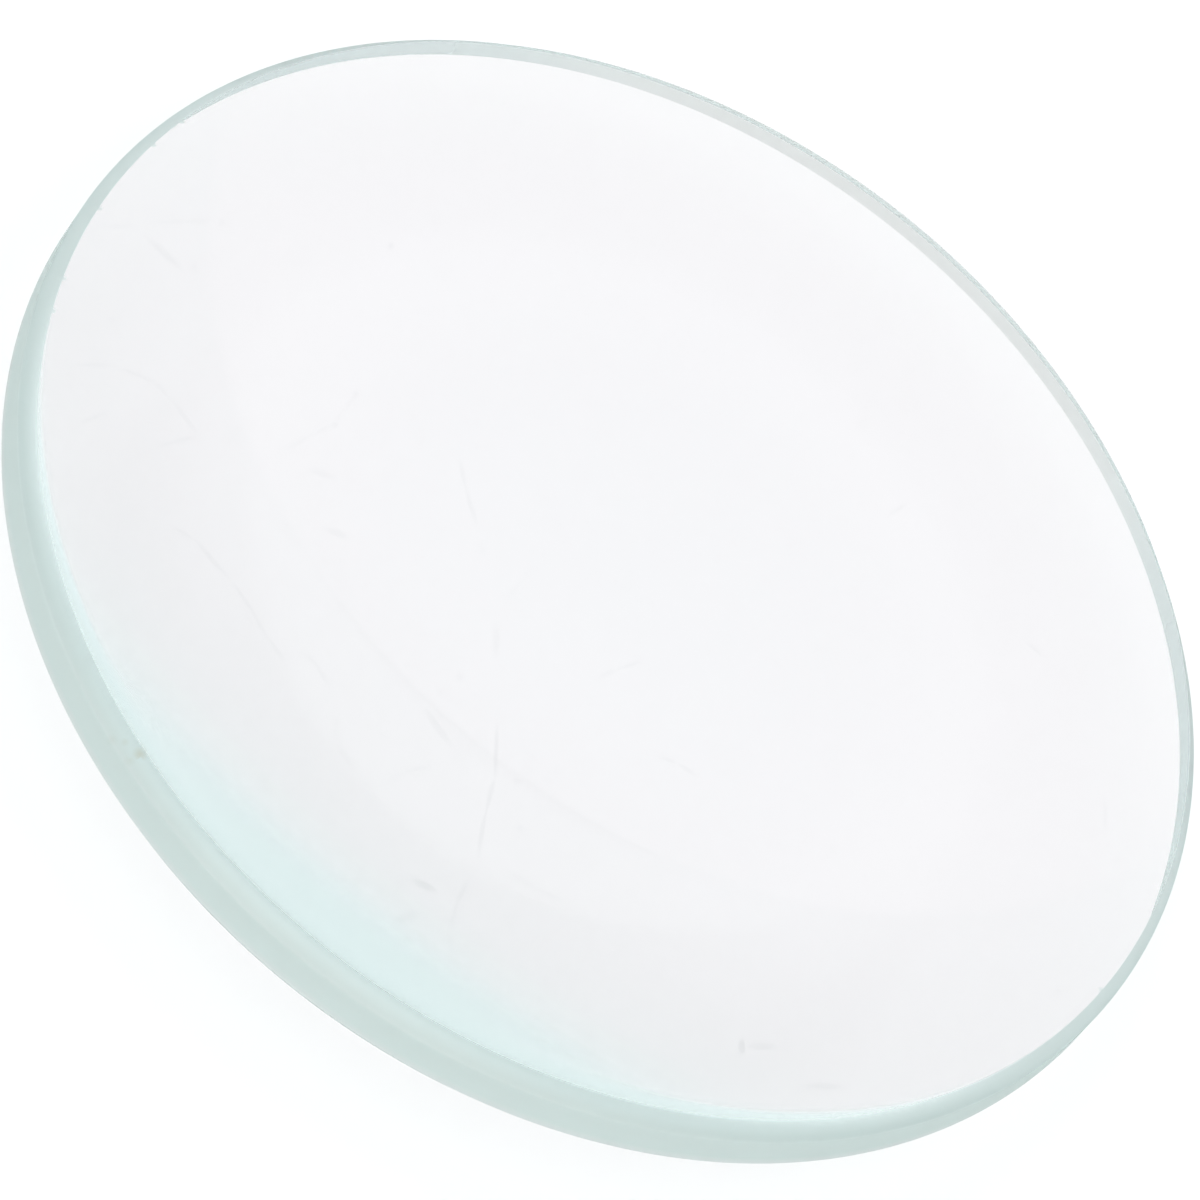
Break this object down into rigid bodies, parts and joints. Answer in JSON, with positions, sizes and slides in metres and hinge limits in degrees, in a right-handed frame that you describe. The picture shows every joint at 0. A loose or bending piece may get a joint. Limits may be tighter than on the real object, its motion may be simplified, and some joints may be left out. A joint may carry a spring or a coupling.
{
  "type": "biconvex lens",
  "caption": "Round clear glass lens, convex on both faces, with a fine-ground and bevelled edge, for gathering, focusing or magnifying light.",
  "frame": {"origin": "centre of the ground edge, on the optical axis, midway between the bevels", "axes": "+Z along the optical axis, from the back face, on which the lens lies, to the front face; the lens is round, so X and Y are any two directions across it"},
  "size_m": [0.05, 0.05, 0.0088],
  "materials": {
    "lens_glass": "polished faces, fine-ground edge and bevels, faint green tint through the edge"
  },
  "bodies": {
    "root": {"lens": "lens_glass"}
  },
  "joints": []
}
